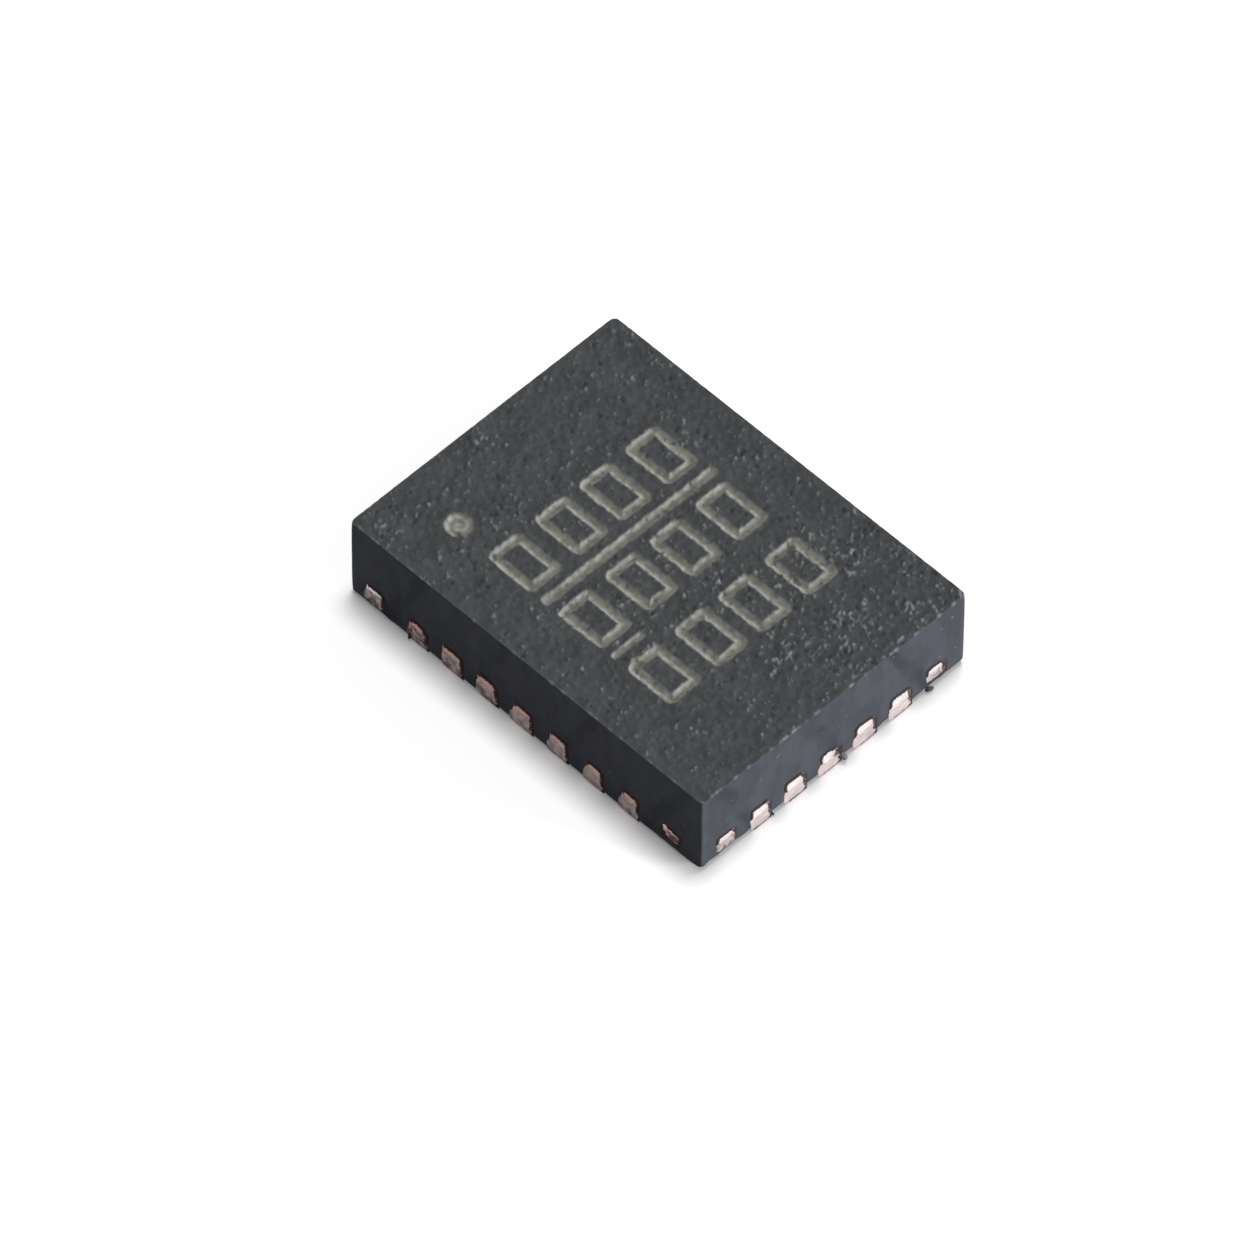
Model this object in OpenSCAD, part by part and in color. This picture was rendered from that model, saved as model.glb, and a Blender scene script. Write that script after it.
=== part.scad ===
// Quad flat no-lead chip package: 24 terminals at 0.4 mm pitch around a 3 x 4 mm moulded body.
// Millimetres. The feet stand on the plane Z = 0, the body is centred on the Z axis with its long
// sides along Y, and terminal 1 is next to the corner of -X and +Y. Terminals count anticlockwise
// seen from above: down the -X side, along -Y, up the +X side and back along +Y.

/* [Body] */
// Width of the moulded body along X
body_w = 3; // [2.7:0.05:3.8]
// Length of the moulded body along Y
body_l = 4; // [3.6:0.05:4.8]
// Height of the top face above the seating plane
body_h = 0.9; // [0.75:0.05:1.2]
// Height of the moulding's underside above the seating plane
standoff = 0.02; // [0.005:0.005:0.05]

/* [Terminal 1 mark] */
// Diameter of the round recess in the top face
mark_d = 0.24; // [0.1:0.02:0.5]
// Depth of the recess
mark_depth = 0.015; // [0.005:0.005:0.05]
// Distance of the recess centre from the -X side
mark_inset_x = 0.6; // [0.3:0.02:1]
// Distance of the recess centre from the +Y side
mark_inset_y = 0.64; // [0.3:0.02:1]

/* [Lead frame] */
// Thickness of the copper sheet that terminals, pad and tie bars are etched from
frame_t = 0.2; // [0.15:0.01:0.25]
// Depth etched away from below on bond fingers, pad rim and tie bars
etch_depth = 0.09; // [0.05:0.01:0.12]

/* [Terminals] */
// Terminals on each of the two long sides
long_count = 7; // [5:1:8]
// Terminals on each of the two short sides
short_count = 5; // [3:1:5]
// Distance between the centre lines of neighbouring terminals
lead_pitch = 0.4; // [0.34:0.01:0.45]
// Width of a terminal
lead_w = 0.2; // [0.12:0.01:0.23]
// Length of the exposed foot, inwards from the body's side
foot_l = 0.4; // [0.3:0.01:0.5]
// Length of the half-etched bond finger beyond the foot
finger_l = 0.06; // [0.02:0.01:0.12]

/* [Pad and tie bars] */
// Gap between the bond fingers and the rim of the pad
pad_gap = 0.13; // [0.08:0.01:0.25]
// Width of the half-etched rim around the exposed pad
pad_rim = 0.06; // [0.02:0.01:0.1]
// Corner cut of the exposed pad that points at terminal 1
pad_key = 0.25; // [0.1:0.01:0.4]
// Width of a tie bar's ends, as they show in the body's sides
tie_w = 0.2; // [0.1:0.01:0.26]
// Width of a tie bar's diagonal stem
stem_w = 0.12; // [0.06:0.01:0.2]

/* [Die] */
// Thickness of the silicon die
die_t = 0.2; // [0.1:0.01:0.25]
// Distance of the die's edge from the edge of the exposed pad
die_margin = 0.25; // [0.1:0.01:0.35]
// Thickness of the adhesive under the die
attach_t = 0.02; // [0.01:0.005:0.04]
// Width of the adhesive that is pressed out around the die
attach_spread = 0.03; // [0.01:0.005:0.06]

/* [Bond wires] */
// Diameter of the wire
wire_d = 0.025; // [0.018:0.001:0.03]
// Diameter of the ball bond on the die
ball_d = 0.06; // [0.045:0.005:0.08]
// Height of the ball bond
ball_h = 0.015; // [0.01:0.001:0.025]
// Rise of the wire above its ball before it bends over
loop_h = 0.13; // [0.06:0.01:0.18]
// Length of the flattened stitch bond on the finger
stitch_l = 0.05; // [0.04:0.005:0.07]
// Width of the stitch bond
stitch_w = 0.045; // [0.03:0.005:0.06]
// Thickness of the stitch bond at its thin end
stitch_t = 0.006; // [0.004:0.001:0.01]
// Distance of the bond pads from the die's edge
bond_inset = 0.07; // [0.05:0.005:0.12]
// Distance of the outermost bond pads from the die's corners
bond_corner = 0.2; // [0.1:0.01:0.3]

/* [Hidden] */
// Segments of the round ends and of the terminal 1 mark
$fn = 48;
// Overshoot of a cut past the face that it opens
cut_over = 0.1;
// Sides of a wire's section, and steps along its loop
wire_sides = 8;
loop_steps = 8;
// Shape of a squashed ball bond: heights of its widest part and shoulder as parts of the ball's
// height, and widths of its foot and shoulder as parts of its diameter
ball_waist_at = 0.4;
ball_shoulder_at = 0.8;
ball_foot = 0.84;
ball_shoulder = 0.8;
// Shape of a stitch bond: where it starts to flatten and where it is widest, as parts of its
// length, and the width of its end as a part of its width
stitch_heel_at = 0.4;
stitch_wide_at = 0.75;
stitch_end = 0.67;
// Colours of the moulding compound and of sawn copper
compound_colour = "#484b4e";
copper_colour = "#b08a7c";

// Reach of a terminal into the body, and the centre of its round nose
lead_reach = foot_l + finger_l;
nose_at = lead_reach - lead_w / 2;

// Terminals in all, and the length of a row from edge to edge
lead_count = 2 * (long_count + short_count);
long_row = (long_count - 1) * lead_pitch + lead_w;
short_row = (short_count - 1) * lead_pitch + lead_w;

// A tie bar forks midway between the body's corner and the ends of the rows next to it
fork_x = (body_w + short_row) / 4;
fork_y = (body_l + long_row) / 4;

// Exposed pad, and the die that is centred on it
pad_edge = lead_reach + pad_gap + pad_rim;
pad_w = body_w - 2 * pad_edge;
pad_l = body_l - 2 * pad_edge;
die_w = pad_w - 2 * die_margin;
die_l = pad_l - 2 * die_margin;
die_bottom = frame_t + attach_t;
die_top = die_bottom + die_t;

LEAD_NAMES = [for (i = [0 : lead_count - 1]) str("lead_", two_digits(i + 1))];
WIRE_NAMES = [for (i = [0 : lead_count - 1]) str("bond_wire_", two_digits(i + 1))];

function two_digits(number) = str(number < 10 ? "0" : "", number);

// Sides are numbered 0 to 3 from -X anticlockwise, and each holds one row of terminals
function side_count(side) = side % 2 == 0 ? long_count : short_count;
function side_start(side) = side == 0 ? 0 : side_start(side - 1) + side_count(side - 1);
function side_of(i) = max([for (side = [0 : 3]) i >= side_start(side) ? side : 0]);

// In a side's own frame the row runs along -Y and the body's middle lies towards +X
function side_distance(side) = (side % 2 == 0 ? body_w : body_l) / 2;
function place_in_row(i) = i - side_start(side_of(i)) - (side_count(side_of(i)) - 1) / 2;
function lead_offset(i) = -place_in_row(i) * lead_pitch;

// Bond pads stand in a row along the die's edge, one for each terminal of the side
function die_edge(side) = (side % 2 == 0 ? die_w : die_l) / 2;
function die_run(side) = (side % 2 == 0 ? die_l : die_w) - 2 * bond_corner;
function bond_pitch(side) = die_run(side) / max(1, side_count(side) - 1);
function ball_place(i) = [
    bond_inset - die_edge(side_of(i)),
    -place_in_row(i) * bond_pitch(side_of(i)),
];
function stitch_place(i) = [nose_at - side_distance(side_of(i)), lead_offset(i)];

// A section of the wire: [run, rise, slope, half width, half height]. Run and rise place the middle
// of its flat underside, as a distance from the ball in plan and a height.
function round_section(run, rise, slope, radius) =
    let (under = radius * cos(180 / wire_sides))
    [run + under * sin(slope), rise - under * cos(slope), slope, radius, radius];

// The ball is squashed: widest below the middle, and narrower where it meets die and wire
function ball_sections() = [
    round_section(0, die_top, 90, ball_foot * ball_d / 2),
    round_section(0, die_top + ball_waist_at * ball_h, 90, ball_d / 2),
    round_section(0, die_top + ball_shoulder_at * ball_h, 90, ball_shoulder * ball_d / 2),
];

// The loop leaves the ball upright and bends over to the finger on one cubic curve
function loop_controls(span) = [
    [0, die_top + ball_h],
    [0, die_top + ball_h + loop_h],
    [(span - stitch_l) / 2, die_top + ball_h + loop_h],
    [span - stitch_l, frame_t + wire_d / 2],
];
function curve_point(p, t) =
    p[0] * pow(1 - t, 3) + p[1] * 3 * t * pow(1 - t, 2) + p[2] * 3 * t * t * (1 - t) + p[3] * pow(t, 3);
function curve_slope(p, t) =
    let (d = (p[1] - p[0]) * pow(1 - t, 2) + (p[2] - p[1]) * 2 * t * (1 - t) + (p[3] - p[2]) * t * t)
    atan2(d[1], d[0]);
function loop_sections(span) = [
    for (step = [0 : loop_steps])
        let (t = step / loop_steps, p = loop_controls(span), at = curve_point(p, t))
        round_section(at[0], at[1], curve_slope(p, t), wire_d / 2)
];

// The stitch lies flat on the finger and thins out towards its end
function stitch_section(span, part, half_w, half_h) =
    [span - stitch_l * (1 - part), frame_t, 0, half_w, half_h];
function stitch_sections(span) = [
    stitch_section(span, stitch_heel_at, (wire_d + stitch_w) / 4, (wire_d + stitch_t) / 4),
    stitch_section(span, stitch_wide_at, stitch_w / 2, stitch_t),
    stitch_section(span, 1, stitch_end * stitch_w / 2, stitch_t / 2),
];

// The points of one section, around the wire, in the frame of its side
function section_points(section, start, along) = [
    for (k = [0 : wire_sides - 1])
        let (
            turn = 360 * (k + 0.5) / wire_sides,
            across = section[3] * cos(turn),
            up = section[4] * (sin(turn) + cos(180 / wire_sides)),
            run = section[0] - up * sin(section[2]),
            rise = section[1] + up * cos(section[2])
        )
        [
            start[0] + along[0] * run - along[1] * across,
            start[1] + along[1] * run + along[0] * across,
            rise,
        ]
];

// Two triangles for each side of the wire between one section and the next
function skin_faces(count) = [
    for (s = [0 : count - 2], k = [0 : wire_sides - 1])
        let (
            a = s * wire_sides + k,
            b = s * wire_sides + (k + 1) % wire_sides,
            c = b + wire_sides,
            d = a + wire_sides
        )
        each [[a, c, b], [a, d, c]]
];

// Moulded body, filled around everything that the lead frame carries
module mold_body() {
    color(compound_colour)
    difference() {
        translate([-body_w / 2, -body_l / 2, standoff])
            cube([body_w, body_l, body_h - standoff]);
        translate([mark_inset_x - body_w / 2, body_l / 2 - mark_inset_y, body_h - mark_depth])
            cylinder(d = mark_d, h = mark_depth + cut_over);
        die_paddle();
        die_attach();
        die();
        for (i = [0 : lead_count - 1]) lead(i);
        for (i = [0 : lead_count - 1]) bond_wire(i);
    }
}

// Bar with one end on the side's line and a full round nose inside the body
module terminal_outline(length) {
    translate([0, -lead_w / 2])
        square([length - lead_w / 2, lead_w]);
    translate([length - lead_w / 2, 0])
        circle(d = lead_w);
}

// Sheet of the first child's outline, thinned from below where the second child doesn't keep it
module etched_sheet() {
    difference() {
        linear_extrude(frame_t)
            children(0);
        translate([0, 0, -cut_over])
            linear_extrude(cut_over + etch_depth)
                difference() {
                    square([body_w + cut_over, body_l + cut_over] * 2, center = true);
                    children(1);
                }
    }
}

// One terminal: a full-thickness foot, and a half-etched finger that reaches further in
module lead(i) {
    color(copper_colour)
    rotate(90 * side_of(i))
    translate([-side_distance(side_of(i)), lead_offset(i), 0])
        etched_sheet() {
            terminal_outline(lead_reach);
            terminal_outline(foot_l);
        }
}

// Exposed pad outline, with the corner next to terminal 1 cut off
module pad_outline() {
    difference() {
        square([pad_w, pad_l], center = true);
        translate([-pad_w / 2, pad_l / 2])
            rotate(45)
                square(pad_key * sqrt(2), center = true);
    }
}

// Tie bar at the corner of +X and +Y: a diagonal stem that forks and runs out past both sides
module tie_bar_outline() {
    pad_corner = [pad_w / 2, pad_l / 2];
    stem = [fork_x, fork_y] - pad_corner;
    translate(pad_corner)
        rotate(atan2(stem[1], stem[0]))
            translate([0, -stem_w / 2])
                square([norm(stem), stem_w]);
    translate([fork_x - tie_w / 2, fork_y - tie_w / 2]) {
        square([body_w / 2, tie_w]);
        square([tie_w, body_l / 2]);
    }
}

// Pad that carries the die, with its half-etched rim and the tie bars that held it in the sheet,
// which are sawn off flush with the body
module die_paddle() {
    color(copper_colour)
    intersection() {
        translate([-body_w / 2, -body_l / 2, -cut_over])
            cube([body_w, body_l, body_h]);
        etched_sheet() {
            union() {
                square([pad_w + 2 * pad_rim, pad_l + 2 * pad_rim], center = true);
                for (x = [0, 1], y = [0, 1])
                    mirror([x, 0])
                        mirror([0, y])
                            tie_bar_outline();
            }
            pad_outline();
        }
    }
}

// Adhesive layer between pad and die
module die_attach() {
    color("#b9b4a6")
    translate([-die_w / 2 - attach_spread, -die_l / 2 - attach_spread, frame_t])
        cube([die_w + 2 * attach_spread, die_l + 2 * attach_spread, attach_t]);
}

// Silicon die
module die() {
    color("#5d6670")
    translate([-die_w / 2, -die_l / 2, die_bottom])
        cube([die_w, die_l, die_t]);
}

// One bond wire: ball on the die, loop, and stitch on the terminal's finger, as one skin
module bond_wire(i) {
    start = ball_place(i);
    reach = stitch_place(i) - start;
    span = norm(reach);
    sections = concat(ball_sections(), loop_sections(span), stitch_sections(span));
    count = len(sections);
    first_cap = [for (k = [0 : wire_sides - 1]) k];
    last_cap = [for (k = [wire_sides - 1 : -1 : 0]) (count - 1) * wire_sides + k];
    color("#d9a441")
    rotate(90 * side_of(i))
        polyhedron(
            points = [for (section = sections) each section_points(section, start, reach / span)],
            faces = concat([first_cap, last_cap], skin_faces(count))
        );
}

mold_body();
die_paddle();
die_attach();
die();
for (i = [0 : lead_count - 1]) {
    lead(i);
    bond_wire(i);
}
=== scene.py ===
"""Finish of the no-lead chip package: grained moulding, sawn copper ends, burrs, stage and camera."""

import math

import bpy
import numpy as np
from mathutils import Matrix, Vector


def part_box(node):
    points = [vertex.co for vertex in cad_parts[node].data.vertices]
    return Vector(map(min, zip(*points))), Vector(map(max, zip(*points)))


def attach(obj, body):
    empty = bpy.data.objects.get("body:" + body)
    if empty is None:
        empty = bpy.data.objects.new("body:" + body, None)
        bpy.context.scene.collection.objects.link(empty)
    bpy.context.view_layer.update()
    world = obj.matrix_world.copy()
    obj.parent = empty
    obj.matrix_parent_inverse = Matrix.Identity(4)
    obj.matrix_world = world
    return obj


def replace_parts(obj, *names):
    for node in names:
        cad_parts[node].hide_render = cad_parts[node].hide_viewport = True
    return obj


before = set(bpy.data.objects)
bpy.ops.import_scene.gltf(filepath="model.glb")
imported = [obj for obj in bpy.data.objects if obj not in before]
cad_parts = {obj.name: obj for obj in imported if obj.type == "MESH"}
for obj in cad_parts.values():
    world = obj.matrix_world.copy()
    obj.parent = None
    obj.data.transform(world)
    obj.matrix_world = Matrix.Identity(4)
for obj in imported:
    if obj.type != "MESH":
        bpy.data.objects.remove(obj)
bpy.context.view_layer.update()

# Lengths below are in millimetres, and meshes are scaled to metres when they are made. Where a value is
# given for each side, the sides come in the order -X, -Y, +X, +Y.
MM = 0.001
BODY_LOW, BODY_HIGH = (np.array(corner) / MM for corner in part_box("mold_body"))
HALF_W, HALF_L, TOP = BODY_HIGH
BOTTOM = BODY_LOW[2]
DIE_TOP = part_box("die")[1].z / MM
LEADS = sorted(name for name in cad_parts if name.startswith("lead_"))
WIRES = sorted(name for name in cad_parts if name.startswith("bond_wire_"))

# Seeds of the moulding and of the copper ends and burrs, how close two places are that count as one,
# how close a point on an edge lies to it, the least length, and the digits by which points are told
# apart
MOULD_SEED, END_SEED = 11, 23
SAME, ON_EDGE, TINY, POINT_DIGITS = 1e-4, 1e-6, 1e-9, 5

# Angles in degrees below which edges are shaded smooth, on small pieces and on the moulding
SMOOTH_BELOW, MOULD_SMOOTH = 40.0, 55.0

# Grain of the moulded top: grid cell, lean and stretch of its streaks, blur of a field as a share of
# its waves' size, and size and height of its waves and grains
CELL = 1 / 75
STREAK_LEAN, STREAK_STRETCH, WAVE_BLUR = 35.0, 1.5, 0.6
WAVE_SIZE, WAVE_H = 0.085, 0.0022
GRAIN_SIZE, GRAIN_H = 0.034, 0.0015

# Specks and pits begin where grain and clusters add up to more than FROM, and are full RANGE above it.
# Waves have a share in the clusters. Specks are pale grains whose colour also paints glints, and they
# fade towards +Y. Near the edge at -Y both kinds crowd towards +X and thin out towards -X. All relief
# calms down in a strip along the edges.
CLUSTER_SIZE, CLUSTER_SHARE, WAVE_SHARE = 0.6, 0.3, 0.25
SPECK_FROM, SPECK_RANGE, SPECK_H, SPECK_FADE = 1.5, 1.8, 0.0075, 0.12
# The last value below is how strongly the pits are painted dark as shade
PIT_SIZE, PIT_FROM, PIT_RANGE, PIT_H, PIT_SHADE_SHARE = 0.045, 1.4, 1.4, 0.0080, 0.6
CROWD, CROWD_MIDDLE = 1.2, 0.2
EDGE_CALM = 0.06

# Strokes of the engraved marking: width, depth and roughness, height and width of the rim beside them,
# width over which they begin, wobble of their outline, and how much less their middle gets of the painted
# highlight on their edge. That highlight lies on the walls that face the light. Beads break it up with a
# size, a mean brightness, a spread and a least, and the dot has a swirl, which the highlight also shows.
STROKE, MARK_DEPTH, MARK_ROUGH = 0.092, 0.015, 0.0018
MARK_RIM, MARK_RIM_W, MARK_SOFT, MARK_WOBBLE, MARK_SHADE = 0.002, 0.012, 0.02, 0.0032, 0.5
BEAD_SIZE, BEAD_MEAN, BEAD_SPREAD, BEAD_LEAST = 0.06, 0.7, 0.3, 0.1
SWIRL_PITCH, SWIRL_SHARE = 0.075, 0.6

# Layout of the marking from the edges at -X and +Y: boxes with their columns and rows, middle and size
# of the bar and the dash, the number of times that their rounding goes into their height, and middle
# and diameter of the dot
BOX_W, BOX_H, BOX_ROUND = 0.37, 0.53, 0.02
BOX_COLUMNS = (0.71, 1.24, 1.735, 2.26)
BOX_ROWS = (1.285, 2.085, 2.87)
BAR = (1.4975, 1.685, 1.945, 0.095)
DASH = (0.7025, 2.46, 0.355, 0.06)
BAR_ROUND = 3
DOT = (0.60, 0.64, 0.24)

# Upright edges: rounding, wear that rounds and lowers the corners with its reach, and paleness of the
# worn edges with its mean and spread along them
EDGE_ROUND, CORNER_WEAR, CORNER_DROP, WEAR_REACH = 0.025, 0.018, 0.008, 0.05
EDGE_PALE, PALE_MEAN, PALE_SPREAD = 0.3, 0.7, 0.3

# Sides: levels of their points below the top and the least step between them, size and height of the
# waves of a sawn face, columns in the field of waves, and how many columns lie between two levels'
# waves and between their paleness
SIDE_LEVELS = (0.012, 0.03, 0.08, 0.2, 0.35, 0.5, 0.62, 0.72, 0.79, 0.83)
RIM_STEP, SAWN_SIZE, SAWN_H = 0.002, 0.12, 0.0008
WALL_COLUMNS, WALL_STEP, PALE_STEP = 64, 5, 7

# Worn lower edge: height on each side, depth, share of the height that waves, and points to either side
# over which the height is averaged
LOWER_H, LOWER_W, LOWER_WAVE, LOWER_BLEND = (0.008, 0.048, 0.020, 0.020), 0.045, 0.25, 7

# Chips of the top edges: number, most points to either side, least and greatest share of the depth,
# depth, share of it that goes down, and share at the far edges. Their paleness, with a gain and a
# start, is given for the edge, beside it and below it, with the least paleness of the edge, which
# paints a highlight line along the whole top edge.
CHIPS, CHIP_REACH, CHIP_SHARE = 190, 2, (0.2, 1.0)
CHIP_DEPTH, CHIP_DROP, FAR_CHIP = 0.005, 0.7, 0.35
CHIP_PALE, BESIDE_PALE, BELOW_PALE, EDGE_HIGHLIGHT_LEAST = (1.5, 0.1), (0.6, 0.05), (1.2, 0.2), 0.08

# Dark bands that the saw left: slope, distance, first place, half width and share of it that is full,
# how far they wander as a share of the distance and over what length, and size and least strength of
# their patches
BAND_SLOPE, BAND_PITCH, BAND_AT, BAND_HALF, BAND_CORE = 0.5, 0.985, -0.884, 0.12, 0.2
BAND_WANDER, BAND_WAVE = 0.04, 0.5
BAND_PATCH, BAND_FAINT, BAND_RANGE = 0.35, 0.35, (0.3, 0.6)

# Cutters are longer than the pieces they make room for, so that no faces lie in one plane
CUT_PAST, CUT_SINK = 0.05, 0.004

# Outline of a sawn copper end: points, how often it is smoothed on terminals and tie bars, drag of the
# terminals to the left, their lowest place and their reach above the solid on each side, lowest place
# of all ends, and jitter. Ranges say how far the right side bulges and the top right dips, and at what
# share of the height the waist and the foot of the left side lie. The waist has a share of the inset of
# the top.
END_POINTS, LEAD_SMOOTH, TIE_SMOOTH = 64, 6, 12
LEAD_DRAG, LEAD_FLOOR = 0.045, (0.003, 0.014, 0.003, 0.008)
LEAD_OVER = (0.090, 0.095, 0.090, 0.090)
END_FLOOR, END_JITTER = 0.003, 0.005
RIGHT_BULGE, RIGHT_MIDDLE, TOP_DIP = (0.00, 0.01), 0.5, (0.01, 0.02)
WAIST_AT, FOOT_AT, WAIST_INSET = (0.55, 0.65), (0.30, 0.40), 0.7

# Relief of an end: rings from the outline to the middle, the ring that the lip is on and rings to
# either side over which it falls, lip, plateau, depth of the hidden back and roughness
END_RINGS = (1.0, 0.96, 0.85, 0.76, 0.66, 0.55, 0.40, 0.20)
LIP_RING, LIP_FALL = 2, 2
END_LIP, END_FLAT, END_SINK, END_ROUGH = 0.0075, 0.0030, 0.003, 0.0006

# Dark rim of an end, painted as the shadow of its burred lip: its share on each ring, its lean on each
# side, and where it begins and how fast it comes up as the outline faces it. The right side is moved out by
# RIGHT_RIM, and the painted rim shadow goes on there, with where it begins, how fast it comes up, its share
# of the strength, and how far down it goes.
RING_RIM_SHADOW = (1.0, 1.0, 1.0, 0.85, 0.3, 0.0, 0.0, 0.0)
RIM_LEAN = (0.38, -0.35, 0.38, -0.35)
RIM_FROM, RIM_RISE = 0.2, 0.35
RIGHT_RIM, RIGHT_FROM, RIGHT_RISE, RIGHT_SHARE, RIGHT_DOWN = 0.028, 0.35, 0.30, 0.86, -0.80

# Colour of an end by its height: where the painted highlight on the upper part begins on each side, over
# what share it comes up and how much it fades to the right, cool lower part and its strength, tarnish
# with painted shade at the foot and its fall to the top, tarnish of a brown spot, and depth to which the
# solid copper is painted dark as shade behind the end
HIGHLIGHT_FROM, HIGHLIGHT_RISE, HIGHLIGHT_FADE = (0.56, 0.42, 0.56, 0.50), 0.20, 0.45
COOL_BELOW, COOL_SHARE = 0.45, 0.7
FOOT_TARNISH_AND_SHADE, SHADE_FALL_TO_TOP, SPOT_TARNISH = 1.3, 0.7, 1.5
END_SHADE_DEPTH = 0.002

# Terminals: raggedness and darkening of some, brown spot with its place and radius, and smear of those in
# view, as how far its top is set in at the left, its foot bulges there, and its top is cut away at the
# right. The others have a smear up to a greatest one, and the darkening and warmth of their side.
LEAD_RAGGED, LEAD_RAGGED_REST = {1: 2.2, 10: 2.0}, 1.0
LEAD_DARKENING = {1: 0.65, 2: 0.48, 3: 0.50}
LEAD_SPOT, NO_SPOT = {10: (0.035, 0.165, 0.035)}, (0.0, 0.0, TINY)
LEAD_SMEAR = {
    1: (0.04, 0.02, 0.01), 2: (0.00, 0.01, -0.01), 3: (0.00, 0.02, 0.00), 4: (0.02, 0.04, -0.02),
    5: (0.04, 0.01, -0.01), 6: (0.06, 0.00, -0.01), 7: (0.06, 0.00, -0.02), 8: (0.00, 0.00, 0.02),
    9: (-0.02, 0.02, 0.03), 10: (-0.01, 0.03, 0.08), 11: (-0.02, 0.04, 0.02), 12: (-0.02, 0.03, 0.01),
}
LEAD_SMEAR_MOST = 0.04
SIDE_DARKENING, DARKENING_SPREAD = (0.34, 0.00, 0.25, 0.05), 0.12
SIDE_WARMTH = (1.0, 0.0, 0.6, 0.1)

# Tie-bar ends: raggedness, darkening, warmth and smear in the same way, and their drag to the left and
# reach below and above the solid
TIE_RAGGED, TIE_RAGGED_REST = {2: 1.8}, 0.8
TIE_DARKENING, TIE_DARKENING_REST = {1: 0.55, 2: 0.70, 3: 0.50, 4: 0.45}, 0.25
TIE_WARMTH, TIE_WARMTH_REST = {1: 0.3, 2: 0.8, 3: 0.15}, 0.0
TIE_SMEAR = {
    1: (0.05, 0.00, -0.04), 2: (0.02, -0.06, -0.03), 3: (0.00, 0.00, 0.03), 4: (0.01, -0.01, 0.03),
}
TIE_SMEAR_MOST = 0.02
TIE_REACH = {
    1: (0.105, 0.045, 0.085), 2: (0.005, -0.015, 0.050),
    3: (0.030, 0.010, 0.085), 4: (0.055, -0.020, 0.095),
}
TIE_REACH_REST = (0.030, 0.020, 0.060)

# Burrs of compound at the lower edge: side, width, thickness, paleness, painted as light where a burr lies
# in shade, and a path of (u, z, out)
BURRS = {
    "burr_1": (0, 0.034, 0.028, 0.0, [(-1.31, 0.045, -0.01), (-1.31, 0.04, 0.012), (-1.30, 0.02, 0.026)]),
    "burr_2": (1, 0.062, 0.056, 1.0, [(0.090, 0.080, -0.01), (0.096, 0.072, 0.020), (0.105, 0.050, 0.048)]),
    "burr_3": (1, 0.050, 0.030, 0.1, [(1.06, 0.05, -0.01), (1.08, 0.045, 0.014), (1.125, 0.032, 0.022)]),
    "burr_4": (1, 0.024, 0.018, 0.0, [(-0.70, 0.035, -0.01), (-0.695, 0.03, 0.010), (-0.69, 0.018, 0.016)]),
}
# Rings along a burr, points round it, smoothing of its path, direction across which it is flat, pinch
# of its free end and roughness
BURR_STEPS, BURR_SIDES, BURR_SMOOTH = 14, 10, 3
BURR_UP, BURR_PINCH, BURR_ROUGH = (0.3, 0.2, 1.0), 0.93, 0.06

# Colours, as sRGB values of 0 to 255
TOP_DARK, TOP_LIGHT = (66, 68, 70), (76, 78, 80)
# The first colour is pale grains and chips, with the glints, highlights and light painted on them and on
# the burrs; the second is shade painted in the pits
PALE_AND_HIGHLIGHT, PIT_SHADE = (122, 125, 125), (44, 46, 48)
SAWN_DARK, SAWN_LIGHT, SAWN_BAND, SAWN_SPECK = (73, 75, 82), (81, 83, 91), (63, 65, 72), (116, 118, 122)
# MARK_HIGHLIGHT is a highlight painted on the strokes' walls that face the light
MARK_DARK, MARK_LIGHT, MARK_HIGHLIGHT = (109, 109, 102), (130, 130, 123), (167, 168, 161)
COPPER_PALE, COPPER_PINK, COPPER_COOL = (223, 212, 208), (206, 188, 184), (213, 197, 202)
# Highlights painted on the upper part of the sawn ends: near white, and salmon on warm sides
COPPER_HIGHLIGHT, SALMON_HIGHLIGHT = (248, 242, 240), (188, 150, 133)
COPPER_BROWN, COPPER_GREY = (106, 80, 76), (100, 93, 95)
# Dark rim colours: painted shadow along the burred lips, reddish on warm sides, and painted shade on the
# sawn copper behind the ends
RIM_SHADOW, RED_RIM_SHADOW, SAWN_END_SHADE = (66, 51, 51), (84, 46, 36), (66, 52, 52)
TIN_DARK, TIN_LIGHT = (176, 176, 172), (208, 208, 204)

# Noise of the materials: ranges over which it goes from one shade or value to the other, and the
# reflection of dull surfaces
NOISE_RANGE, NOISE_WIDE = (0.35, 0.65), (0.3, 0.7)
SPECULAR = 0.02

# Moulding compound: sizes and range of the mottling and share of its larger clouds, size of the
# mottling in the marking and on the sides, grit on the sides, roughness and size of the fine grain on
# top and sides, and depth of its bump. What is sawn is drawn out along or down the sides.
CLOUD_SIZE, MOTTLE_SIZE, CLOUD_SHARE, MOTTLE_RANGE = 0.30, 0.06, 0.45, (0.36, 0.64)
MARK_MOTTLE, SAWN_MOTTLE, SAWN_DOWN = 0.07, 0.16, (1, 1, 2)
GRIT_SIZE, GRIT_RANGE = 0.045, (0.73, 0.80)
TOP_ROUGH, SAWN_ROUGH = 0.62, 0.48
TOP_GRAIN, SAWN_GRAIN, SAWN_ALONG, MOULD_BUMP = 0.016, 0.02, (4, 4, 1), 0.0009

# Lead frame: how far a face looks down where tin begins and is full, sizes of the mottling of copper
# and tin, and size and range of the roughness and size and depth of the bump
PLATED_RANGE, COPPER_MOTTLE, TIN_MOTTLE = (-0.5, -0.9), 0.03, 0.025
METAL_PATCH, METAL_ROUGH, METAL_GRAIN, METAL_BUMP = 0.02, (0.3, 0.5), 0.012, 0.0012

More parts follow.
